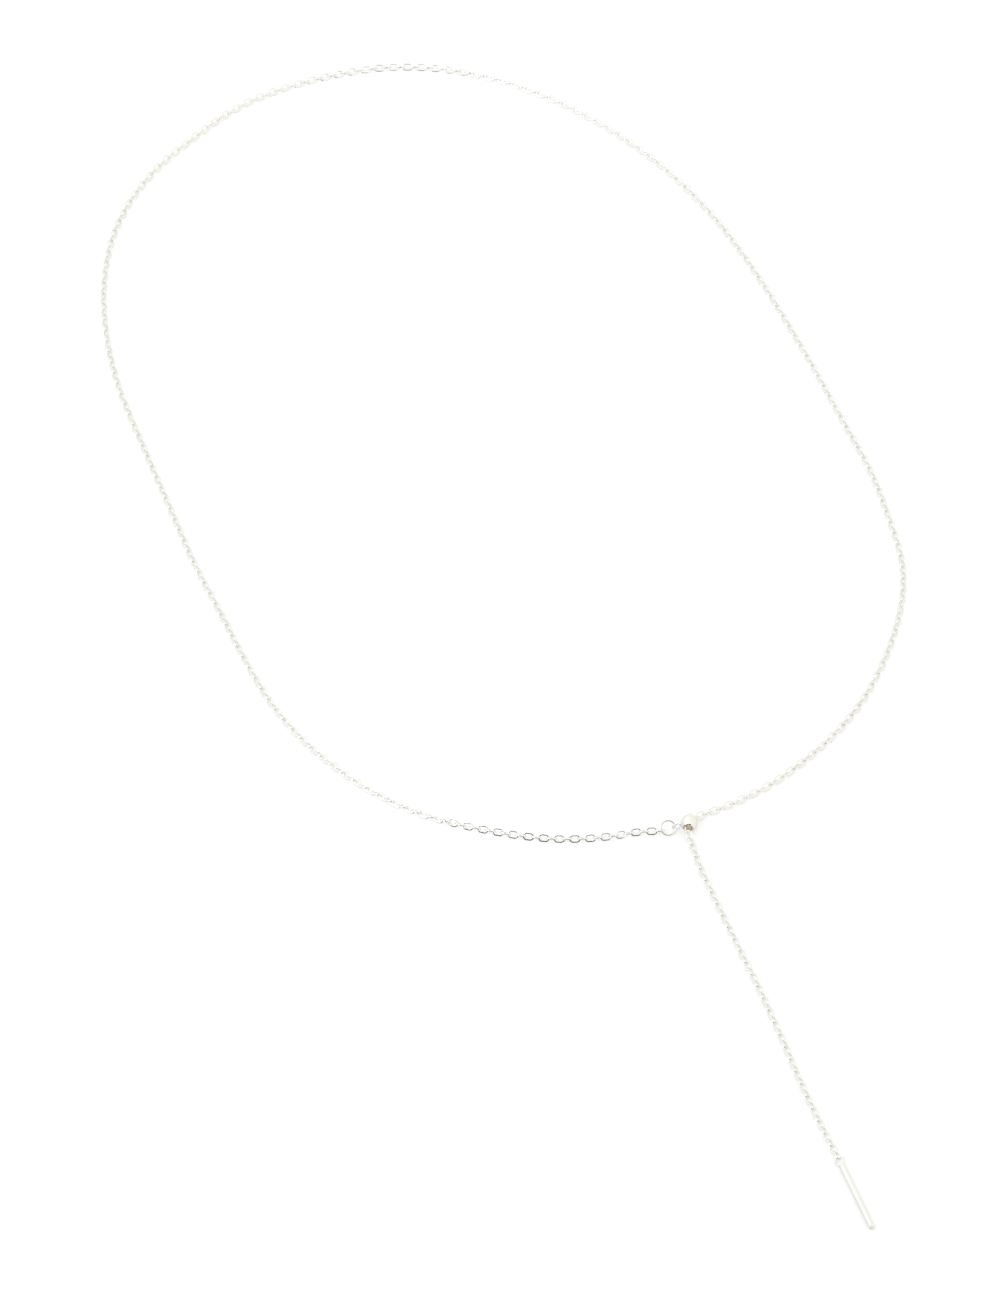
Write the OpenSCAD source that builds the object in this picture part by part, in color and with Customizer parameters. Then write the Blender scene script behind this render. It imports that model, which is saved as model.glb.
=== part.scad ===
// Y necklace of fine flat cable chain, lying on a flat surface.
// One chain starts at a jump ring on the side of a drilled bead, runs once round the neck, passes
// through the bead and hangs on as the drop, which ends in a slim bar. Pulling the drop through the
// bead makes the neck loop smaller. Millimetres, +Z up, the surface at z = 0, the drop towards -Y.

/* [Chain] */
// Distance from the middle of one link to the middle of the next
link_pitch = 1.4; // [1.35:0.01:1.45]
// Outer width of a link
link_w = 1.5; // [1.4:0.05:1.6]
// Width of a link's flattened wire, seen flat on
link_wire = 0.25; // [0.22:0.01:0.28]
// Thickness of that wire, seen edge on
link_sheet = 0.22; // [0.18:0.01:0.25]
// Play between two hooked links
link_play = 0.18; // [0.16:0.01:0.22]
// Lean of the links to the surface, one to the left and the next to the right, in degrees
link_lean = 45; // [42:1:48]
// Links of the drop, between the bead and the bar
drop_links = 55; // [30:1:70]

/* [Jump ring] */
// Outer diameter of the jump ring
ring_d = 2.9; // [2.8:0.05:3.05]
// Diameter of its wire
ring_wire = 0.3; // [0.26:0.02:0.36]
// How far its back edge is tipped up from the surface, in degrees
ring_tilt = 38; // [36:1:42]

/* [Slider bead] */
// Diameter of the round bead
bead_d = 3.2; // [3.1:0.05:3.4]
// Clearance all round the widest part of the chain in the bore
bore_play = 0.19; // [0.16:0.01:0.22]
// Width of the turned bevel at each mouth of the bore
mouth_bevel = 0.06; // [0.04:0.01:0.08]
// Outer diameter of the loop soldered to the bead's side
loop_d = 1.7; // [1.6:0.05:1.8]
// Diameter of the loop's wire
loop_wire = 0.3; // [0.26:0.02:0.32]
// How far the loop hangs below the level of the bead's middle, in degrees
loop_dip = 12; // [12:1:14]

/* [Threader bar] */
// Diameter of the bar
bar_d = 1.2; // [1.1:0.05:1.4]
// Length of the bar without its eye
bar_len = 14.2; // [10:0.2:25]
// Bevel of the bar's edge at the eye
bar_edge = 0.2; // [0.1:0.05:0.3]
// Outer diameter of the eye soldered to its top
eye_d = 2; // [1.8:0.05:2.1]
// Diameter of the eye's wire
eye_wire = 0.35; // [0.3:0.05:0.4]
// Lean of the eye to the surface, away from the last link's, in degrees
eye_lean = 25; // [15:1:30]

/* [Fits] */
// Clearance between a link and the ring or the eye that it is hooked in
seat_gap = 0.17; // [0.15:0.01:0.19]
// How deep a soldered loop or eye is sunk into what it is soldered to
solder = 0.1; // [0.08:0.01:0.14]
// Air under the lowest edges of the leaning links
floor_gap = 0.03; // [0.02:0.01:0.05]

/* [Hidden] */
$fn = 48;

// Place of the bead's middle in the frame, and the compass headings in which the drop leaves its bore
// and its side loop points
bead_at = [0.75, -55.35];
bore_heading = 240;
loop_heading = 170;
// Where the first link sits on the jump ring, in degrees from its outermost point towards the front
ring_seat = 18;
// How far below the loop's middle line the jump ring hangs in the loop, in degrees
loop_seat = 15;
// How far the chain's first end is lifted by the jump ring
start_rise = 0.3;

// The chain's chosen points [x, y] from the bead, clockwise round the neck from the jump ring
neck_points = [
    [-9, 2], [-13.1, 2.6], [-21.5, 4.8], [-35, 12], [-46.3, 21.2], [-54, 31.8], [-61.1, 49.6],
    [-63.1, 64.6], [-63.7, 75.4], [-64.6, 91.3], [-64.6, 106], [-64.6, 122.8], [-64.3, 137.6],
    [-62.4, 151.1], [-58.3, 165.2], [-52.4, 176.8], [-40.8, 189.1], [-30.4, 195.4], [-17.3, 201.1],
    [0, 202.7], [13.4, 200.8], [29.3, 192.7], [39.2, 183.1], [47.1, 171.9], [54.2, 157.5],
    [58.7, 142.7], [61, 128.4], [62.2, 112.9], [62.8, 97.3], [63, 81.9], [63.1, 66.7], [62.1, 57],
    [59.8, 43.8], [47.6, 23.6], [36.6, 13.4], [26.7, 7.7], [15, 3.3], [9.1, 2.2]];
// Points [x, y, rise above the lying chain] where it climbs to the bead's back mouth
climb_points = [[4.98, 1.76, 0], [2.85, 1.53, 0.13], [1.15, 1.32, 0.71]];
// Points [way out from the bead's surface along its bore, rise above the bead's middle], one at the
// back mouth and two at the front
bore_points = [[0.14, 0.135], [0.18, 0], [0.41, -0.39]];
// Points [x, y, rise above the lying chain] of the drop, down past the bar's eye
drop_points = [
    [-0.9, -3.3, 0.2], [-1.1, -5.5, 0], [-1.4, -9, 0], [-1.5, -14, 0], [-1.5, -28, 0],
    [-1.4, -36, 0], [-1.7, -52, 0], [-2, -60, 0], [-2.1, -69, 0], [-1.9, -76, 0], [-1.9, -110, 0]];
// Straight steps in each stretch of the chain's curve between two points
curve_steps = 8;
// Real links at the jump ring, and behind the bead
ring_link_count = 4;
links_behind = 4;
// Rings of the tube that stands for the rest of the neck chain, and its sides
tube_rings = 78;
tube_sides = 8;

// Sizes that follow
up = [0, 0, 1];
link_rc = (link_w - link_wire) / 2;
link_straight = link_pitch + link_play + link_wire - 2 * link_rc;
lie = link_w / 2 * sin(link_lean) + link_sheet / 2 * cos(link_lean) + floor_gap;
link_past_joint = link_play / 2 + link_wire;
bead_r = bead_d / 2;
bore_r = norm([link_w, link_sheet]) / 2 + bore_play;
mouth = sqrt(bead_r * bead_r - bore_r * bore_r);
ring_rc = (ring_d - ring_wire) / 2;
eye_rc = (eye_d - eye_wire) / 2;
bar_r = bar_d / 2;

// The bead, its side loop and the jump ring, each from the one before
bead_c = [bead_at.x, bead_at.y, bead_r];
bore_out = [cos(bore_heading), sin(bore_heading), 0];
side_out = [cos(loop_heading), sin(loop_heading), 0];
side_back = [sin(loop_heading), -cos(loop_heading), 0];
loop_out = side_out * cos(loop_dip) - up * sin(loop_dip);
loop_c = bead_c + loop_out * (bead_r - solder + loop_d / 2);
loop_hang = loop_d / 2 - loop_wire - ring_wire / 2 - seat_gap;
ring_hook = loop_c + (side_out * cos(loop_seat) - up * sin(loop_seat)) * loop_hang;
ring_back = up * sin(ring_tilt) + side_back * cos(ring_tilt);
ring_c = ring_hook + side_out * ring_rc;
ring_hold = ring_c + (side_out * cos(ring_seat) - ring_back * sin(ring_seat)) * ring_rc;

// Where the chain starts in the jump ring
function flat(v) = [v.x, v.y, 0];
function unit(v) = v / norm(v);
function beside_bead(p, rise) = [bead_at.x + p.x, bead_at.y + p.y, lie + rise];
function on_bore(p, side) = bead_c + side * bore_out * (bead_r + p.x) + up * p.y;
function hook_in(other_wire) = (other_wire - link_play) / 2 + seat_gap;
start_dir = unit(flat(beside_bead(neck_points[0], 0) - ring_hold));
chain_start = flat(ring_hold - start_dir * hook_in(ring_wire)) + up * (lie + start_rise);

// The whole route of the chain, through the bead
route = concat(
    [chain_start],
    [for (p = neck_points) beside_bead(p, 0)],
    [for (p = climb_points) beside_bead(p, p.z)],
    [on_bore(bore_points[0], -1), bead_c, on_bore(bore_points[1], 1), on_bore(bore_points[2], 1)],
    [for (p = drop_points) beside_bead(p, p.z)]);
bead_index = 1 + len(neck_points) + len(climb_points) + 1;

// A smooth curve through the route's points, never lower than the lying chain
function leg(i) = norm(route[i + 1] - route[i]);
function heading(i) = unit(route[i + 1] - route[i]);
function slope(i) =
    i == 0 ? heading(0) :
    i == len(route) - 1 ? heading(i - 1) :
    (heading(i) * leg(i - 1) + heading(i - 1) * leg(i)) / (leg(i - 1) + leg(i));
function on_curve(i, t) =
    let (p = route[i] * (2 * t * t * t - 3 * t * t + 1)
             + slope(i) * leg(i) * (t * t * t - 2 * t * t + t)
             + route[i + 1] * (3 * t * t - 2 * t * t * t)
             + slope(i + 1) * leg(i) * (t * t * t - t * t))
    [p.x, p.y, max(p.z, lie)];
curve = concat(
    [for (i = [0 : len(route) - 2], j = [0 : curve_steps - 1]) on_curve(i, j / curve_steps)],
    [route[len(route) - 1]]);
run = [for (i = 0, s = 0; i < len(curve);
            s = s + (i + 1 < len(curve) ? norm(curve[i + 1] - curve[i]) : 0), i = i + 1) s];
along_x = [for (i = [0 : len(run) - 1]) [run[i], curve[i].x]];
along_y = [for (i = [0 : len(run) - 1]) [run[i], curve[i].y]];
along_z = [for (i = [0 : len(run) - 1]) [run[i], curve[i].z]];
function along(s) = [lookup(s, along_x), lookup(s, along_y), lookup(s, along_z)];

// Link 0 of the drop sits midway in the bead, and the bar hangs where the last link ends
bead_run = run[bead_index * curve_steps];
drop_run = bead_run - link_pitch / 2;
drop_end = along(drop_run + (drop_links + 1) * link_pitch);

// Axes along the chain a, level across it and upright to both
function across(a) = unit(cross(up, a));
function placed(from, to, lean) =
    let (a = unit(to - from), c = (from + to) / 2, b = across(a), h = cross(a, b),
         s = b * cos(lean) + h * sin(lean), n = cross(a, s))
    [[a.x, s.x, n.x, c.x], [a.y, s.y, n.y, c.y], [a.z, s.z, n.z, c.z], [0, 0, 0, 1]];

module stadium(r) {
    for (end = [-1, 1])
        translate([end * link_straight / 2, 0]) circle(r);
    square([link_straight, 2 * r], center = true);
}

module link() {
    linear_extrude(link_sheet, center = true) difference() {
        stadium(link_w / 2);
        stadium(link_w / 2 - link_wire);
    }
}

// Links first to last, counted from a place on the chain's way
module links(start_run, first, last) {
    for (k = [first : last])
        multmatrix(placed(along(start_run + k * link_pitch), along(start_run + (k + 1) * link_pitch),
                          k % 2 == 0 ? link_lean : -link_lean))
            link();
}

// A ring in the plane of the two directions x and y
module ring_at(c, x, y, outer_d, wire_d) {
    n = cross(x, y);
    multmatrix([[x.x, y.x, n.x, c.x], [x.y, y.y, n.y, c.y], [x.z, y.z, n.z, c.z], [0, 0, 0, 1]])
        rotate_extrude() translate([(outer_d - wire_d) / 2, 0]) circle(d = wire_d, $fn = 24);
}

module neck_chain() {
    from = ring_link_count * link_pitch + link_past_joint + seat_gap;
    to = drop_run - links_behind * link_pitch - link_past_joint - seat_gap;
    rim = lie / cos(180 / tube_sides);
    gap = (to - from) / (tube_rings - 1);
    points = [for (i = [0 : tube_rings - 1])
        let (s = from + i * gap, a = unit(along(s + gap / 4) - along(s - gap / 4)), b = across(a),
             h = cross(a, b))
        for (j = [0 : tube_sides - 1])
            let (turn = 360 * (j + 0.5) / tube_sides)
            along(s) + (b * cos(turn) + h * sin(turn)) * rim];
    sides = [for (i = [0 : tube_rings - 2], j = [0 : tube_sides - 1])
        let (p = i * tube_sides + j, q = i * tube_sides + (j + 1) % tube_sides)
        [p, q, q + tube_sides, p + tube_sides]];
    ends = [[for (j = [tube_sides - 1 : -1 : 0]) j],
            [for (j = [0 : tube_sides - 1]) (tube_rings - 1) * tube_sides + j]];
    color("gainsboro") polyhedron(points, concat(sides, ends));
}

module ring_links() {
    color("silver") links(0, 0, ring_link_count - 1);
}

module jump_ring() {
    color("lightgray") ring_at(ring_c, side_out, ring_back, ring_d, ring_wire);
}

module slider_bead() {
    color("whitesmoke") difference() {
        union() {
            translate(bead_c) sphere(r = bead_r);
            ring_at(loop_c, loop_out, cross(loop_out, side_back), loop_d, loop_wire);
        }
        translate(bead_c) rotate([0, 90, bore_heading]) {
            cylinder(h = bead_d + 2 * mouth_bevel, r = bore_r, center = true);
            for (end = [-1, 1])
                translate([0, 0, end * mouth]) cylinder(
                    h = 2 * mouth_bevel, center = true,
                    r1 = bore_r + (1 - end) * mouth_bevel, r2 = bore_r + (1 + end) * mouth_bevel);
        }
    }
}

module drop_chain() {
    color("silver") links(drop_run, -links_behind, drop_links);
}

module threader_bar() {
    eye_c = [drop_end.x, drop_end.y + hook_in(eye_wire) - eye_rc, bar_r];
    turn = drop_links % 2 == 0 ? -eye_lean : eye_lean;
    color("whitesmoke") {
        ring_at(eye_c, [0, 1, 0], [cos(turn), 0, sin(turn)], eye_d, eye_wire);
        translate([eye_c.x, eye_c.y - eye_d / 2 + solder, bar_r]) rotate([90, 0, 0]) {
            cylinder(h = bar_edge, r1 = bar_r - bar_edge, r2 = bar_r);
            translate([0, 0, bar_edge]) cylinder(h = bar_len - bar_r - bar_edge, r = bar_r);
            translate([0, 0, bar_len - bar_r]) sphere(r = bar_r);
        }
    }
}

neck_chain();
ring_links();
jump_ring();
slider_bead();
drop_chain();
threader_bar();
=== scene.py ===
"""Looks of a fine silver y necklace: a flat cable chain laid in an open loop, a slider bead with its
side loop and jump ring, and a drop that ends in a slim bar. All in the necklace's own frame."""

import math

import bmesh
import bpy
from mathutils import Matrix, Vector


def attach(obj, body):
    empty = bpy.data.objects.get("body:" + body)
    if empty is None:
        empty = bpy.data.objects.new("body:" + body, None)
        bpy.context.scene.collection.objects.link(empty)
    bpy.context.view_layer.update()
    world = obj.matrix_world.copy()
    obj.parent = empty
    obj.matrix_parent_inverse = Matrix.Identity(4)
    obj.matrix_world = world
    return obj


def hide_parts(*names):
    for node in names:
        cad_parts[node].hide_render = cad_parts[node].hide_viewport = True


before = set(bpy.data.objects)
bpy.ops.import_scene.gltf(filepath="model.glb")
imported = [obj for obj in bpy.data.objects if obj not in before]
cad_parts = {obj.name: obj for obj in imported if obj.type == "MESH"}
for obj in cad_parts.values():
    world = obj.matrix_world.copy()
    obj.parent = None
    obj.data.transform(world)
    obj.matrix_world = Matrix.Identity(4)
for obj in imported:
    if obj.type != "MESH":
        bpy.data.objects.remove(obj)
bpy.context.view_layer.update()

MM = 0.001
UP = Vector((0, 0, 1))
DROP_WAY = Vector((0, -1, 0))

# Sizes in millimetres and degrees, as in the part's source.
# Chain: spacing, play between hooked links, lean to the table, then a link's width, wire and sheet
LINK_PITCH, LINK_PLAY, LINK_LEAN = 1.4, 0.18, 45
LINK_W, LINK_WIRE, LINK_SHEET = 1.5, 0.25, 0.22
# Links that hang in the jump ring, behind the bead and in the drop
RING_LINKS, LINKS_BEHIND, DROP_LINKS = 4, 4, 55
# Jump ring: outer diameter, wire, tip of its back edge, and how far round the first link hangs
RING_D, RING_WIRE, RING_TILT, RING_SEAT = 2.9, 0.3, 38, 18
# Bead: diameter, play all round the chain in the bore, bevel at the mouths
BEAD_D, BORE_PLAY, MOUTH_BEVEL = 3.2, 0.19, 0.06
# Loop on the bead's side: outer diameter, wire, dip below level, and how far round the ring hangs
LOOP_D, LOOP_WIRE, LOOP_DIP, LOOP_SEAT = 1.7, 0.3, 12, 15
# Bar: diameter, length without its eye, edge at the eye, then the eye's diameter, wire and lean
BAR_D, BAR_LEN, BAR_EDGE = 1.2, 14.2, 0.2
EYE_D, EYE_WIRE, EYE_LEAN = 2.0, 0.35, 25
# Air where a link is hooked in, depth of a soldered joint, air above the table
SEAT_GAP, SOLDER, FLOOR_GAP = 0.17, 0.1, 0.03
# Where the bead lies, the headings of its bore and its loop, and the rise of the first link
BEAD_AT = Vector((0.75, -55.35, 0))
BORE_HEADING, LOOP_HEADING = 240, 170
START_RISE = 0.3

# The visible wire and sheet are fuller than the solids', which keep air between the links
FULL_WIRE, FULL_SHEET = 0.33, 0.25

# The chain's few chosen points, measured from the bead: round the neck, up behind the bead, through
# the bore (way past the bead's outside, rise above its middle) and down the drop
NECK_POINTS = [
    (-9, 2), (-13.1, 2.6), (-21.5, 4.8), (-35, 12), (-46.3, 21.2), (-54, 31.8), (-61.1, 49.6),
    (-63.1, 64.6), (-63.7, 75.4), (-64.6, 91.3), (-64.6, 106), (-64.6, 122.8), (-64.3, 137.6),
    (-62.4, 151.1), (-58.3, 165.2), (-52.4, 176.8), (-40.8, 189.1), (-30.4, 195.4), (-17.3, 201.1),
    (0, 202.7), (13.4, 200.8), (29.3, 192.7), (39.2, 183.1), (47.1, 171.9), (54.2, 157.5),
    (58.7, 142.7), (61, 128.4), (62.2, 112.9), (62.8, 97.3), (63, 81.9), (63.1, 66.7), (62.1, 57),
    (59.8, 43.8), (47.6, 23.6), (36.6, 13.4), (26.7, 7.7), (15, 3.3), (9.1, 2.2)]
CLIMB_POINTS = [(4.98, 1.76, 0), (2.85, 1.53, 0.13), (1.15, 1.32, 0.71)]
BORE_POINTS = [(0.14, 0.135), (0.18, 0), (0.41, -0.39)]
DROP_POINTS = [
    (-0.9, -3.3, 0.2), (-1.1, -5.5, 0), (-1.4, -9, 0), (-1.5, -14, 0), (-1.5, -28, 0),
    (-1.4, -36, 0), (-1.7, -52, 0), (-2, -60, 0), (-2.1, -69, 0), (-1.9, -76, 0), (-1.9, -110, 0)]

# Steps in which curves and rounds are drawn
CURVE_STEPS = 8
OVAL_SIDES, SECTION_SIDES = 12, 8
BEAD_SIDES, BEAD_STEPS, LIP_STEPS, BORE_STEPS = 80, 40, 5, 12
BAR_SIDES, SHOULDER_STEPS, SHAFT_STEPS, TIP_STEPS = 56, 6, 30, 12
RING_STEPS, LOOP_STEPS, WIRE_SIDES = 96, 72, 16

# Visible links: the share of the wire's width that is rolled flat, and the bend that is a crisp edge
FLAT_SHARE, LINK_CREASE = 0.8, 50
# Largest sway of a neck link, and what sets the seed of a link's tone apart from that of its sway
NECK_SWAY, TONE_SEED_SHIFT = 3, 7
# Depth of a mouth's lip as a share of its width, and the angle that stays crisp on turned pieces
LIP_FLATNESS, PIECE_CREASE = 0.6, 35
# Pads of solder at the loop and at the eye: half their length, width and height, and the loop pad's sink
LOOP_PAD, EYE_PAD, LOOP_PAD_SINK = (0.4, 0.19, 0.13), (0.42, 0.24, 0.1), 0.02
# A smaller radius closes a profile's end, nearer points are one, and this far off is still the wall
CLOSED_END, SAME_POINT, WALL_SLACK = 1e-6, 1e-5, 0.01

# Camera: its place from the bead and where it looks, then its lens in pixels of the photo
CAMERA_FROM_BEAD = Vector((-267.6, -636.9, 885.6))
LOOK = Vector((0.2180, 0.5990, -0.7705)).normalized()
FOCAL_PIXELS, PHOTO_HEIGHT, SENSOR_HEIGHT = 6200, 1294, 24.0

# The studio is in metres and degrees.
# The nearest and the farthest that the camera sees
NEAREST, FARTHEST = 0.05, 20
# Table: half its side and its white, its glow at the front (y) and from the middle on, the glow's tint
# and what the camera sees of it on top
TABLE_HALF, TABLE_WHITE = 3, (0.62, 0.63, 0.67)
FRONT_Y, MIDDLE_Y, FRONT_GLOW, TABLE_GLOW = -0.16, 0.0, 0.25, 0.24
GLOW_TINT, TABLE_OVEREXPOSED = (1.04, 1.02, 0.95), 0.19
# Dark card: its heading and distance from the bead, its size and its cloth
CARD_HEADING, CARD_FAR = 245, 0.40
CARD_W, CARD_H = 0.46, 0.345
CLOTH_BLACK = (0.03, 0.024, 0.028)
# Walls: colours to the left and right, low and high, and over which stretch they blend
LEFT_HIGH, RIGHT_HIGH = (1.05, 1.05, 1.05), (0.97, 0.955, 0.88)
LEFT_LOW, RIGHT_LOW = (0.90, 0.905, 0.91), (0.94, 0.93, 0.865)
SIDE_BLEND, HEIGHT_BLEND = (-0.1, 0.5), (0.15, 0.6)
# Key lamp: heading and height in degrees, distance, disk and power
KEY_HEADING, KEY_HEIGHT, KEY_FAR, KEY_SIZE, KEY_POWER = 200, 48, 1.4, 0.5, 1.8


# Where everything lies

def compass(degrees, dip=0):
    """A direction by its compass heading and how far it points below level."""
    a, d = math.radians(degrees), math.radians(dip)
    return Vector((math.cos(a) * math.cos(d), math.sin(a) * math.cos(d), -math.sin(d)))


LIE = (LINK_W / 2 * math.sin(math.radians(LINK_LEAN)) + LINK_SHEET / 2 * math.cos(math.radians(LINK_LEAN))
       + FLOOR_GAP)
BEAD_R = BEAD_D / 2
BORE_R = math.hypot(LINK_W, LINK_SHEET) / 2 + BORE_PLAY
BEAD_C = BEAD_AT + UP * BEAD_R
BORE_OUT = compass(BORE_HEADING)
SIDE_OUT = compass(LOOP_HEADING)
SIDE_BACK = compass(LOOP_HEADING - 90)
LOOP_OUT = compass(LOOP_HEADING, LOOP_DIP)
LOOP_C = BEAD_C + LOOP_OUT * (BEAD_R - SOLDER + LOOP_D / 2)
LOOP_HANG = LOOP_D / 2 - LOOP_WIRE - RING_WIRE / 2 - SEAT_GAP
LOOP_UP = LOOP_OUT.cross(SIDE_BACK)
RING_BACK = UP * math.sin(math.radians(RING_TILT)) + SIDE_BACK * math.cos(math.radians(RING_TILT))
RING_RC = (RING_D - RING_WIRE) / 2
RING_C = LOOP_C + compass(LOOP_HEADING, LOOP_SEAT) * LOOP_HANG + SIDE_OUT * RING_RC
RING_HOLD = RING_C + RING_RC * (SIDE_OUT * math.cos(math.radians(RING_SEAT))
                                - RING_BACK * math.sin(math.radians(RING_SEAT)))


def beside_bead(point):
    """A chosen point of the chain: (x, y) or (x, y, rise) from the bead, at the height it lies at."""
    x, y, rise = point if len(point) == 3 else (*point, 0)
    return BEAD_AT + Vector((x, y, LIE + rise))


def hook_in(other_wire):
    """How far past the joint the middle of the wire is that the link hooks round."""
    return (other_wire - LINK_PLAY) / 2 + SEAT_GAP


def smooth_way(route):
    """Fine straight steps of the smooth curve through a route's points, never lower than the chain lies."""
    legs = [(b - a).length for a, b in zip(route, route[1:])]
    heads = [(b - a).normalized() for a, b in zip(route, route[1:])]
    slopes = [heads[0]]
    for i in range(1, len(route) - 1):
        slopes.append((heads[i] * legs[i - 1] + heads[i - 1] * legs[i]) / (legs[i - 1] + legs[i]))
    slopes.append(heads[-1])
    way = []
    for i, leg in enumerate(legs):
        for j in range(CURVE_STEPS):
            t = j / CURVE_STEPS
            p = (route[i] * (2 * t ** 3 - 3 * t * t + 1) + slopes[i] * leg * (t ** 3 - 2 * t * t + t)
                 + route[i + 1] * (3 * t * t - 2 * t ** 3) + slopes[i + 1] * leg * (t ** 3 - t * t))
            p.z = max(p.z, LIE)
            way.append(p)
    return way + [route[-1]]


def chain_way():
    """The chain's way from the jump ring to past the bar, the run to each of its steps, and the run
    to the bead's middle."""
    start_dir = beside_bead(NECK_POINTS[0]) - RING_HOLD
    start_dir.z = 0
    start = RING_HOLD - start_dir.normalized() * hook_in(RING_WIRE)
    start.z = LIE + START_RISE
    bore = [BEAD_C + side * BORE_OUT * (BEAD_R + way) + UP * rise
            for side, (way, rise) in zip((-1, 1, 1), BORE_POINTS)]
    before_bead = [start] + [beside_bead(p) for p in NECK_POINTS + CLIMB_POINTS] + bore[:1]
    way = smooth_way(before_bead + [BEAD_C.copy()] + bore[1:] + [beside_bead(p) for p in DROP_POINTS])
    runs = [0.0]
    for a, b in zip(way, way[1:]):
        runs.append(runs[-1] + (b - a).length)
    return way, runs, runs[len(before_bead) * CURVE_STEPS]


WAY, RUNS, BEAD_RUN = chain_way()
DROP_RUN = BEAD_RUN - LINK_PITCH / 2


def along(run):
    """The point of the chain's way after a run."""
    for i in range(len(RUNS) - 1):
        if run <= RUNS[i + 1]:
            return WAY[i].lerp(WAY[i + 1], (run - RUNS[i]) / (RUNS[i + 1] - RUNS[i]))
    return WAY[-1]


def joints(first_run, count, step=LINK_PITCH):
    """The joints before, between and after a number of links."""
    return [along(first_run + k * step) for k in range(count + 1)]


# Nodes and objects

class Bench:
    """A tree of nodes that is being built."""

    def __init__(self, tree):
        self.tree = tree

    def take(self, name, kind, value=None):
        """A named input of the tree."""
        socket = self.tree.interface.new_socket(name=name, in_out="INPUT", socket_type=kind)
        if value is not None:
            socket.default_value = value

    def give(self, name, kind):
        """A named output of the tree."""
        self.tree.interface.new_socket(name=name, in_out="OUTPUT", socket_type=kind)

    def fill(self, node, values):
        """Inputs of a node, each from another node's socket or a plain value."""
        for key, value in values.items():
            if isinstance(value, bpy.types.NodeSocket):
                self.tree.links.new(value, node.inputs[key])
            else:
                node.inputs[key].default_value = value

    def add(self, kind, values=None, **settings):
        """A new node with its settings and inputs."""
        node = self.tree.nodes.new(kind)
        for key, setting in settings.items():
            setattr(node, key, setting)
        self.fill(node, values or {})
        return node

    def calc(self, operation, *terms):
        """The result of one sum."""
        return self.add("ShaderNodeMath", dict(enumerate(terms)), operation=operation).outputs[0]


def placed(name, data):
    """A new object in the scene, at the origin."""
    thing = bpy.data.objects.new(name, data)
    bpy.context.scene.collection.objects.link(thing)
    return thing


def new_finish(name):
    """A new material, the bench for its nodes and its main shader."""
    material = bpy.data.materials.new(name)
    material.use_nodes = True
    return material, Bench(material.node_tree), material.node_tree.nodes["Principled BSDF"]


# Links, made where the chain's joints are

def link_oval(bench, given):
    """The link's oval along its wire's middle: a round whose halves are drawn apart."""
    half_side = math.radians(180 / OVAL_SIDES)
    round_d = bench.calc("SUBTRACT", given["Link Width"], given["Wire Width"])
    around = bench.add("GeometryNodeCurvePrimitiveCircle", {
        "Resolution": OVAL_SIDES, "Radius": bench.calc("MULTIPLY", round_d, 0.5 / math.cos(half_side))},
        mode="RADIUS")
    turned_round = bench.add("GeometryNodeTransform", {
        "Geometry": around.outputs["Curve"], "Rotation": (0, 0, half_side)})
    straight = bench.calc("SUBTRACT", given["Link Length"], given["Link Width"])
    spot = bench.add("ShaderNodeSeparateXYZ", {
        "Vector": bench.add("GeometryNodeInputPosition").outputs["Position"]})
    half = bench.calc("MULTIPLY", bench.calc("SIGN", spot.outputs["X"], 0), straight)
    apart = bench.add("ShaderNodeCombineXYZ", {"X": bench.calc("MULTIPLY", half, 0.5)})
    oval = bench.add("GeometryNodeSetPosition", {
        "Geometry": turned_round.outputs["Geometry"], "Offset": apart.outputs["Vector"]})
    return bench.add("GeometryNodeSetCurveNormal", {"Curve": oval.outputs["Geometry"]},
                     mode="Z_UP").outputs["Curve"]


def rolled_section(bench, given):
    """The rolled wire's section, with a low crown along the middle of its two wide faces."""
    section = bench.add("GeometryNodeCurvePrimitiveCircle", {
        "Resolution": SECTION_SIDES, "Radius": 1.0}, mode="RADIUS")
    corner = bench.add("ShaderNodeSeparateXYZ", {
        "Vector": bench.add("GeometryNodeInputPosition").outputs["Position"]})
    one_side = math.radians(360 / SECTION_SIDES)
    widened = bench.calc("MULTIPLY", corner.outputs["X"], FLAT_SHARE / math.cos(one_side))
    reach = bench.add("ShaderNodeCombineXYZ", {
        "X": bench.calc("MAXIMUM", bench.calc("MINIMUM", widened, 1), -1), "Y": corner.outputs["Y"]})
    rolled = bench.add("GeometryNodeSetPosition", {
        "Geometry": section.outputs["Curve"], "Position": reach.outputs["Vector"]})
    shape = bench.add("ShaderNodeCombineXYZ", {
        "X": bench.calc("MULTIPLY", given["Wire Width"], 0.5),
        "Y": bench.calc("MULTIPLY", given["Wire Thickness"], 0.5), "Z": 1.0})
    return bench.add("GeometryNodeTransform", {
        "Geometry": rolled.outputs["Geometry"], "Scale": shape.outputs["Vector"]}).outputs["Geometry"]


def one_link(bench, given):
    """One link as a mesh, with the real edges of its sheet kept crisp."""
    swept = bench.add("GeometryNodeCurveToMesh", {
        "Curve": link_oval(bench, given), "Profile Curve": rolled_section(bench, given)})
    bend = bench.add("GeometryNodeInputMeshEdgeAngle").outputs["Unsigned Angle"]
    steep = bench.add("FunctionNodeCompare", {"A": bend, "B": math.radians(LINK_CREASE)},
                      data_type="FLOAT", operation="GREATER_THAN")
    creased = bench.add("GeometryNodeStoreNamedAttribute", {
        "Name": "sharp_edge", "Geometry": swept.outputs["Mesh"], "Value": steep.outputs["Result"]},
        data_type="BOOLEAN", domain="EDGE")
    return creased.outputs["Geometry"]


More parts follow.
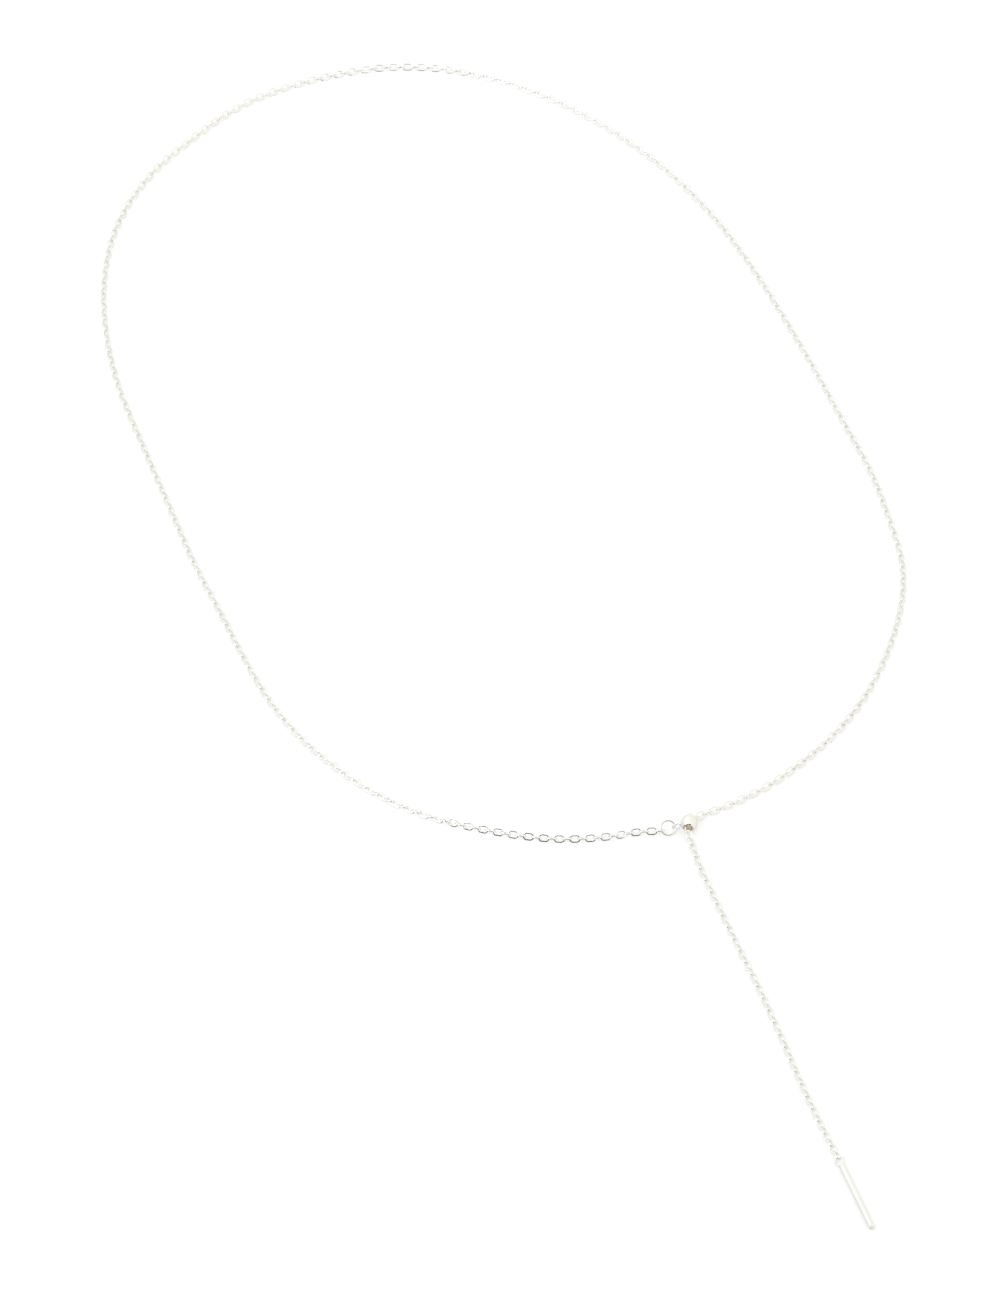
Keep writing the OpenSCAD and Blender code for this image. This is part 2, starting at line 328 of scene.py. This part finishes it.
def link_places(bench, given):
    """A point for each link, with its heading and its number."""
    kept = bench.add("GeometryNodeCaptureAttribute", domain="EDGE")
    kept.capture_items.new("VECTOR", "Heading")
    kept.capture_items.new("INT", "Number")
    ends = bench.add("GeometryNodeInputMeshEdgeVertices").outputs
    heading = bench.add("ShaderNodeVectorMath", {0: ends["Position 2"], 1: ends["Position 1"]},
                        operation="SUBTRACT")
    bench.fill(kept, {
        "Geometry": given["Joints"], "Heading": heading.outputs["Vector"],
        "Number": bench.add("GeometryNodeInputIndex").outputs["Index"]})
    places = bench.add("GeometryNodeMeshToPoints", {"Mesh": kept.outputs["Geometry"]}, mode="EDGES")
    return places.outputs["Points"], kept.outputs["Heading"], kept.outputs["Number"]


def link_lean(bench, given, heading, number):
    """How a link lies: one leans left and the next right, each with its own small sway."""
    every_other = bench.calc("MULTIPLY", bench.calc("MODULO", number, 2), 2)
    side = bench.calc("SUBTRACT", 1, every_other)
    sway = bench.add("FunctionNodeRandomValue", {
        "Min": bench.calc("MULTIPLY", given["Sway"], -1), "Max": given["Sway"], "ID": number,
        "Seed": given["Seed"]}, data_type="FLOAT")
    lean = bench.calc("ADD", bench.calc("MULTIPLY", side, given["Lean"]), sway.outputs["Value"])
    level = bench.add("FunctionNodeAxesToRotation", {
        "Primary Axis": heading, "Secondary Axis": (0, 0, 1)}, primary_axis="X", secondary_axis="Z")
    roll = bench.add("FunctionNodeAxisAngleToRotation", {"Axis": (1, 0, 0), "Angle": lean})
    return bench.add("FunctionNodeRotateRotation", {
        "Rotation": level.outputs["Rotation"], "Rotate By": roll.outputs["Rotation"]},
        rotation_space="LOCAL").outputs["Rotation"]


def flat_link_tree():
    """Geometry Nodes: one flat oval link at each edge of a line of joints, leaning to one side and
    then to the other, each with its own small sway and its own tone of polish."""
    tree = bpy.data.node_groups.new("flat_cable_chain", "GeometryNodeTree")
    bench = Bench(tree)
    bench.take("Joints", "NodeSocketGeometry")
    for name in ("Link Length", "Link Width", "Wire Width", "Wire Thickness", "Lean", "Sway"):
        bench.take(name, "NodeSocketFloat")
    bench.take("Seed", "NodeSocketInt")
    bench.take("Silver", "NodeSocketMaterial")
    bench.give("Links", "NodeSocketGeometry")
    given = bench.add("NodeGroupInput").outputs
    points, heading, number = link_places(bench, given)
    hooked = bench.add("GeometryNodeInstanceOnPoints", {
        "Points": points, "Instance": one_link(bench, given),
        "Rotation": link_lean(bench, given, heading, number)})
    tone = bench.add("FunctionNodeRandomValue", {
        "ID": bench.add("GeometryNodeInputIndex").outputs["Index"],
        "Seed": bench.calc("ADD", given["Seed"], TONE_SEED_SHIFT)}, data_type="FLOAT")
    toned = bench.add("GeometryNodeStoreNamedAttribute", {
        "Name": "link_tone", "Geometry": hooked.outputs["Instances"], "Value": tone.outputs["Value"]},
        data_type="FLOAT", domain="INSTANCE")
    real = bench.add("GeometryNodeRealizeInstances", {"Geometry": toned.outputs["Geometry"]})
    silvered = bench.add("GeometryNodeSetMaterial", {
        "Geometry": real.outputs["Geometry"], "Material": given["Silver"]})
    bench.add("NodeGroupOutput", {"Links": silvered.outputs["Geometry"]})
    return tree


def chain_piece(name, tree, points, silver, sway_degrees, seed):
    """A length of chain as a plain mesh, one link from each joint to the next."""
    line = bpy.data.meshes.new(name + "_joints")
    line.from_pydata([p * MM for p in points], [(k, k + 1) for k in range(len(points) - 1)], [])
    guide = placed(name + "_guide", line)
    maker = guide.modifiers.new("links", "NODES")
    maker.node_group = tree
    sizes = {
        "Link Length": (LINK_PITCH + LINK_PLAY + 2 * LINK_WIRE) * MM, "Link Width": LINK_W * MM,
        "Wire Width": FULL_WIRE * MM, "Wire Thickness": FULL_SHEET * MM,
        "Lean": math.radians(LINK_LEAN), "Sway": math.radians(sway_degrees), "Seed": seed, "Silver": silver}
    for item in tree.interface.items_tree:
        if item.item_type == "SOCKET" and item.in_out == "INPUT" and item.name in sizes:
            maker[item.identifier] = sizes[item.name]
    bpy.context.view_layer.update()
    graph = bpy.context.evaluated_depsgraph_get()
    mesh = bpy.data.meshes.new_from_object(guide.evaluated_get(graph))
    bpy.data.objects.remove(guide)
    mesh.name = name
    for face in mesh.polygons:
        face.use_smooth = True
    return placed(name, mesh)


# Turned and bent pieces

def turned(bm, centre, axis, profile, sides, closed=False):
    """Faces of a profile of (way along the axis, radius) turned once round that axis."""
    axis = axis.normalized()
    u = axis.orthogonal().normalized()
    v = axis.cross(u)
    rows = []
    for way, radius in profile:
        middle = centre + axis * way
        if radius < CLOSED_END:
            rows.append([bm.verts.new(middle * MM)])
        else:
            rows.append([bm.verts.new((middle + radius * (u * math.cos(a) + v * math.sin(a))) * MM)
                         for a in (2 * math.pi * k / sides for k in range(sides))])
    pairs = list(zip(rows, rows[1:])) + ([(rows[-1], rows[0])] if closed else [])
    for low, high in pairs:
        for k in range(sides):
            m = (k + 1) % sides
            if len(low) == 1:
                bm.faces.new((low[0], high[k], high[m]))
            elif len(high) == 1:
                bm.faces.new((low[k], high[0], low[m]))
            else:
                bm.faces.new((low[k], high[k], high[m], low[m]))


def wire_ring(bm, centre, x, y, outer_d, wire_d, steps):
    """A closed round ring of round wire in the plane of x and y."""
    rc, r = (outer_d - wire_d) / 2, wire_d / 2
    n = x.cross(y).normalized()
    rows = []
    for k in range(steps):
        a = 2 * math.pi * k / steps
        out = x * math.cos(a) + y * math.sin(a)
        rows.append([bm.verts.new((centre + out * (rc + r * math.cos(b)) + n * r * math.sin(b)) * MM)
                     for b in (2 * math.pi * j / WIRE_SIDES for j in range(WIRE_SIDES))])
    for k in range(steps):
        for j in range(WIRE_SIDES):
            i, m = (j + 1) % WIRE_SIDES, (k + 1) % steps
            bm.faces.new((rows[k][j], rows[m][j], rows[m][i], rows[k][i]))


def solder_pad(bm, centre, lengthwise, outward, half_sizes):
    """A small smooth pad of solder where a ring is fixed on."""
    half_length, half_width, half_height = half_sizes
    across = outward.cross(lengthwise)
    for vert in bmesh.ops.create_icosphere(bm, subdivisions=3, radius=1.0)["verts"]:
        p = vert.co.copy()
        vert.co = (centre + lengthwise * p.x * half_length + across * p.y * half_width
                   + outward * p.z * half_height) * MM


def finished(name, bm):
    """The object of a finished mesh: faces outward, smooth, with its real edges kept crisp."""
    bmesh.ops.remove_doubles(bm, verts=bm.verts, dist=SAME_POINT * MM)
    bmesh.ops.recalc_face_normals(bm, faces=bm.faces)
    for face in bm.faces:
        face.smooth = True
    for edge in bm.edges:
        if len(edge.link_faces) == 2 and edge.calc_face_angle(0) > math.radians(PIECE_CREASE):
            edge.smooth = False
    mesh = bpy.data.meshes.new(name)
    bm.to_mesh(mesh)
    bm.free()
    return placed(name, mesh)


def quarter(steps, first=0):
    """The angles of a quarter turn in even steps."""
    return [math.pi / 2 * k / steps for k in range(first, steps + 1)]


def bored_bead():
    """The round bead with its bore, softly rounded lips at the mouths and the soldered side loop."""
    bm = bmesh.new()
    lip = 2 * MOUTH_BEVEL
    lip_depth = lip * LIP_FLATNESS
    edge_way = math.sqrt(BEAD_R ** 2 - (BORE_R + lip) ** 2)
    open_at = math.acos(edge_way / BEAD_R)
    outside = [(BEAD_R * math.cos(a), BEAD_R * math.sin(a)) for a in (
        open_at + (math.pi - 2 * open_at) * k / BEAD_STEPS for k in range(BEAD_STEPS + 1))]
    near_lip = [(edge_way - lip_depth * (1 - math.cos(t)), BORE_R + lip * (1 - math.sin(t)))
                for t in quarter(LIP_STEPS, 1)]
    bore = [((edge_way - lip_depth) * (1 - 2 * k / BORE_STEPS), BORE_R) for k in range(1, BORE_STEPS)]
    far_lip = [(-way, radius) for way, radius in reversed(near_lip)]
    turned(bm, BEAD_C, BORE_OUT, outside[::-1] + near_lip + bore + far_lip, BEAD_SIDES, closed=True)
    wire_ring(bm, LOOP_C, LOOP_OUT, LOOP_UP, LOOP_D, LOOP_WIRE, LOOP_STEPS)
    solder_pad(bm, BEAD_C + LOOP_OUT * (BEAD_R - LOOP_PAD_SINK), LOOP_UP, LOOP_OUT, LOOP_PAD)
    return finished("bored_bead", bm)


def bent_jump_ring():
    """The jump ring, tipped up at its back edge."""
    bm = bmesh.new()
    wire_ring(bm, RING_C, SIDE_OUT, RING_BACK, RING_D, RING_WIRE, RING_STEPS)
    return finished("bent_jump_ring", bm)


def turned_bar():
    """The slim bar with its rounded tip, its softened top edge and the soldered eye."""
    bm = bmesh.new()
    end = along(DROP_RUN + (DROP_LINKS + 1) * LINK_PITCH)
    bar_r = BAR_D / 2
    eye_c = Vector((end.x, end.y + hook_in(EYE_WIRE) - (EYE_D - EYE_WIRE) / 2, bar_r))
    turn = math.radians(EYE_LEAN if DROP_LINKS % 2 else -EYE_LEAN)
    eye_side = Vector((math.cos(turn), 0, math.sin(turn)))
    top = Vector((eye_c.x, eye_c.y - EYE_D / 2 + SOLDER, bar_r))
    shoulder = [(BAR_EDGE * (1 - math.cos(t)), bar_r - BAR_EDGE + BAR_EDGE * math.sin(t))
                for t in quarter(SHOULDER_STEPS)]
    shaft = [(BAR_EDGE + (BAR_LEN - bar_r - BAR_EDGE) * k / SHAFT_STEPS, bar_r)
             for k in range(1, SHAFT_STEPS + 1)]
    tip = [(BAR_LEN - bar_r + bar_r * math.sin(t), bar_r * math.cos(t)) for t in quarter(TIP_STEPS, 1)]
    turned(bm, top, DROP_WAY, [(0, 0)] + shoulder + shaft + tip, BAR_SIDES)
    wire_ring(bm, eye_c, -DROP_WAY, eye_side, EYE_D, EYE_WIRE, LOOP_STEPS)
    solder_pad(bm, top, eye_side, -DROP_WAY, EYE_PAD)
    return finished("turned_bar", bm)


# Silver

def wear_group():
    """Fine hairlines and a little dullness of worn polish, as masks and a height."""
    group = bpy.data.node_groups.new("hairlines_and_haze", "ShaderNodeTree")
    bench = Bench(group)
    bench.take("Hairline Scale", "NodeSocketFloat", 900.0)
    bench.take("Haze Scale", "NodeSocketFloat", 260.0)
    bench.take("Stretch", "NodeSocketVector", (1.0, 1.0, 1.0))
    for name in ("Hairlines", "Haze", "Height"):
        bench.give(name, "NodeSocketFloat")
    given = bench.add("NodeGroupInput").outputs
    spot = bench.add("ShaderNodeTexCoord").outputs["Object"]
    stretched = bench.add("ShaderNodeVectorMath", {0: spot, 1: given["Stretch"]}, operation="MULTIPLY")
    fine = bench.add("ShaderNodeTexNoise", {
        "Vector": stretched.outputs["Vector"], "Scale": given["Hairline Scale"], "Detail": 4,
        "Roughness": 0.65})
    lines = bench.add("ShaderNodeMapRange", {
        "Value": fine.outputs["Fac"], "From Min": 0.42, "From Max": 0.68})
    broad = bench.add("ShaderNodeTexNoise", {"Vector": spot, "Scale": given["Haze Scale"], "Detail": 2})
    haze = bench.add("ShaderNodeMapRange", {
        "Value": broad.outputs["Fac"], "From Min": 0.35, "From Max": 0.7})
    bench.add("NodeGroupOutput", {
        "Hairlines": lines.outputs["Result"], "Haze": haze.outputs["Result"],
        "Height": fine.outputs["Fac"]})
    return group


def silver(name, wear, bright, dull, gloss, hairline, stretch=(1, 1, 1), bump=0.02, per_link=0.0,
           metallic=1.0):
    """Polished silver: a bright colour that dulls in the haze, with hairlines in the gloss. A share of
    the dullness may differ from link to link."""
    material, bench, metal = new_finish(name)
    worn = bench.add("ShaderNodeGroup", {"Hairline Scale": hairline, "Stretch": stretch}, node_tree=wear)
    share = worn.outputs["Haze"]
    if per_link:
        tone = bench.add("ShaderNodeAttribute", attribute_name="link_tone")
        share = bench.add("ShaderNodeMix", {
            "Factor": per_link, "A": share, "B": tone.outputs["Fac"]}).outputs["Result"]
    colour = bench.add("ShaderNodeMix", {"Factor": share, "A": (*bright, 1), "B": (*dull, 1)},
                       data_type="RGBA")
    rough = bench.add("ShaderNodeMapRange", {
        "Value": worn.outputs["Hairlines"], "To Min": gloss[0], "To Max": gloss[1]})
    relief = bench.add("ShaderNodeBump", {
        "Height": worn.outputs["Height"], "Strength": bump, "Distance": 0.05 * MM})
    bench.fill(metal, {
        "Metallic": metallic, "Base Color": colour.outputs["Result"], "Roughness": rough.outputs["Result"],
        "Normal": relief.outputs["Normal"]})
    return material


def plate(piece, main_silver, other_silver=None, is_other=None):
    """A piece in one silver, and in another where is_other says so of a face's middle."""
    piece.data.materials.append(main_silver)
    if other_silver:
        piece.data.materials.append(other_silver)
        for face in piece.data.polygons:
            if is_other(face.center / MM):
                face.material_index = 1


def on_bore_wall(spot):
    """Whether a point in millimetres is in the bead's bore."""
    from_middle = spot - BEAD_C
    return (from_middle - BORE_OUT * from_middle.dot(BORE_OUT)).length < BORE_R + WALL_SLACK


# Table, light and camera

def panel(name, corners, material):
    """A flat four-cornered face."""
    mesh = bpy.data.meshes.new(name)
    mesh.from_pydata(corners, [], [(0, 1, 2, 3)])
    mesh.materials.append(material)
    return placed(name, mesh)


def pale_table():
    """The white table, which glows so that only the tightest corners hold a shadow."""
    material, bench, matt = new_finish("lit_table")
    spot = bench.add("ShaderNodeSeparateXYZ", {
        "Vector": bench.add("ShaderNodeTexCoord").outputs["Object"]})
    glow = bench.add("ShaderNodeMapRange", {
        "Value": spot.outputs["Y"], "From Min": FRONT_Y, "From Max": MIDDLE_Y, "To Min": FRONT_GLOW,
        "To Max": TABLE_GLOW})
    seen = bench.add("ShaderNodeLightPath").outputs["Is Camera Ray"]
    strength = bench.calc("MULTIPLY_ADD", seen, TABLE_OVEREXPOSED, glow.outputs["Result"])
    bench.fill(matt, {
        "Base Color": (*TABLE_WHITE, 1), "Roughness": 0.95, "Specular IOR Level": 0.0,
        "Emission Color": (*GLOW_TINT, 1), "Emission Strength": strength})
    corners = [(x * TABLE_HALF, y * TABLE_HALF, 0) for x, y in ((-1, -1), (1, -1), (1, 1), (-1, 1))]
    table = panel("pale_table", corners, material)


def dark_card():
    """A dark card near the front left, unseen itself, which only the nearest links mirror."""
    material, bench, cloth = new_finish("dark_cloth")
    bench.fill(cloth, {"Base Color": (*CLOTH_BLACK, 1), "Roughness": 0.9, "Specular IOR Level": 0.0})
    foot = BEAD_AT * MM + compass(CARD_HEADING) * CARD_FAR
    half = compass(CARD_HEADING - 90) * CARD_W / 2
    rise = UP * CARD_H
    card = panel("dark_card", [foot - half, foot + half, foot + half + rise, foot - half + rise], material)
    card.visible_camera = False


def white_studio():
    """White walls all round, brighter overhead and warmer on the right."""
    world = bpy.data.worlds.new("white_studio")
    bpy.context.scene.world = world
    world.use_nodes = True
    bench = Bench(world.node_tree)
    outward = bench.add("ShaderNodeTexCoord").outputs["Generated"]

    def share_along(direction, low_high):
        way = bench.add("ShaderNodeVectorMath", {0: outward, 1: direction}, operation="DOT_PRODUCT")
        return bench.add("ShaderNodeMapRange", {
            "Value": way.outputs["Value"], "From Min": low_high[0], "From Max": low_high[1]},
            interpolation_type="SMOOTHSTEP").outputs["Result"]

    def blend(share, first, second):
        return bench.add("ShaderNodeMix", {"Factor": share, "A": first, "B": second},
                         data_type="RGBA").outputs["Result"]

    side = share_along((1, 0, 0), SIDE_BLEND)
    low = blend(side, (*LEFT_LOW, 1), (*RIGHT_LOW, 1))
    high = blend(side, (*LEFT_HIGH, 1), (*RIGHT_HIGH, 1))
    walls = blend(share_along((0, 0, 1), HEIGHT_BLEND), low, high)
    bench.fill(world.node_tree.nodes["Background"], {"Color": walls, "Strength": 1.0})


def soft_key():
    """The soft lamp, from the left."""
    data = bpy.data.lights.new("soft_key", "AREA")
    data.shape = "DISK"
    data.size = KEY_SIZE
    data.energy = KEY_POWER
    way = compass(KEY_HEADING, -KEY_HEIGHT)
    light = placed("soft_key", data)
    light.location = way * KEY_FAR
    light.rotation_euler = (-way).to_track_quat("-Z", "Y").to_euler()


def photo_camera():
    """The camera, where the photo was taken from."""
    data = bpy.data.cameras.new("photo_camera")
    data.sensor_fit = "VERTICAL"
    data.sensor_height = SENSOR_HEIGHT
    data.lens = SENSOR_HEIGHT * FOCAL_PIXELS / PHOTO_HEIGHT
    data.clip_start, data.clip_end = NEAREST, FARTHEST
    camera = placed("photo_camera", data)
    camera.location = (BEAD_AT + CAMERA_FROM_BEAD) * MM
    camera.rotation_euler = LOOK.to_track_quat("-Z", "Y").to_euler()
    bpy.context.scene.camera = camera


# The necklace

bpy.context.scene.view_settings.view_transform = "Standard"
photo_camera()
pale_table()
dark_card()
white_studio()
soft_key()

wear = wear_group()
chain_silver = silver("chain_silver", wear, bright=(0.985, 0.98, 0.935), dull=(0.95, 0.945, 0.89),
                      gloss=(0.08, 0.17), hairline=1500.0, bump=0.03, per_link=0.5)
bead_silver = silver("bead_silver", wear, bright=(0.97, 0.97, 0.95), dull=(0.94, 0.94, 0.91),
                     gloss=(0.04, 0.1), hairline=1200.0)
# Bore wall: a warm orange silver, partly tarnish in the hole and partly a painted warm glow that stands in
# for light bouncing inside the bore
bore_tarnish_and_glow = silver("bore_tarnish_and_glow", wear, bright=(1.0, 0.90, 0.72), dull=(1.0, 0.87, 0.66),
                     gloss=(0.3, 0.4), hairline=1200.0, metallic=0.4)
ring_silver = silver("ring_silver", wear, bright=(0.87, 0.84, 0.81), dull=(0.76, 0.73, 0.70),
                     gloss=(0.05, 0.12), hairline=1200.0)
tip_silver = silver("tip_silver", wear, bright=(0.97, 0.97, 0.95), dull=(0.95, 0.95, 0.925),
                    gloss=(0.65, 0.8), hairline=1600.0)
bar_silver = silver("bar_silver", wear, bright=(0.97, 0.97, 0.95), dull=(0.93, 0.93, 0.90),
                    gloss=(0.05, 0.12), hairline=1600.0, stretch=(1, 0.06, 1))

tree = flat_link_tree()
# The neck's links are an even number, spaced evenly between the ring's and those behind the bead
neck_from = RING_LINKS * LINK_PITCH
neck_length = DROP_RUN - LINKS_BEHIND * LINK_PITCH - neck_from
neck_links = 2 * round(neck_length / LINK_PITCH / 2)
# Lengths of chain: name, node, joints, sway in degrees and seed
lengths = [
    ("first_links", "ring_links", joints(0, RING_LINKS), 0, 11),
    ("neck_links", "neck_chain", joints(neck_from, neck_links, neck_length / neck_links), NECK_SWAY, 5),
    ("drop_links", "drop_chain",
     joints(DROP_RUN - LINKS_BEHIND * LINK_PITCH, LINKS_BEHIND + DROP_LINKS + 1), 0, 3)]
for name, node_name, points, sway, seed in lengths:
    links = chain_piece(name, tree, points, chain_silver, sway, seed)
    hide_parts(node_name)
    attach(links, "root")

bead, ring, bar = bored_bead(), bent_jump_ring(), turned_bar()
tip_from = min(vertex.co.y for vertex in bar.data.vertices) / MM + BAR_D / 2
# The bore's faces take the warm bore finish, partly tarnish and partly painted glow of light bouncing
# inside
plate(bead, bead_silver, bore_tarnish_and_glow, on_bore_wall)
plate(ring, ring_silver)
plate(bar, bar_silver, tip_silver, lambda spot: spot.y < tip_from)
for piece, node_name, slot in ((bead, "slider_bead", "silver_bead"), (ring, "jump_ring", "silver_chain"),
                               (bar, "threader_bar", "silver_bar")):
    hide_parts(node_name)
    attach(piece, "root")
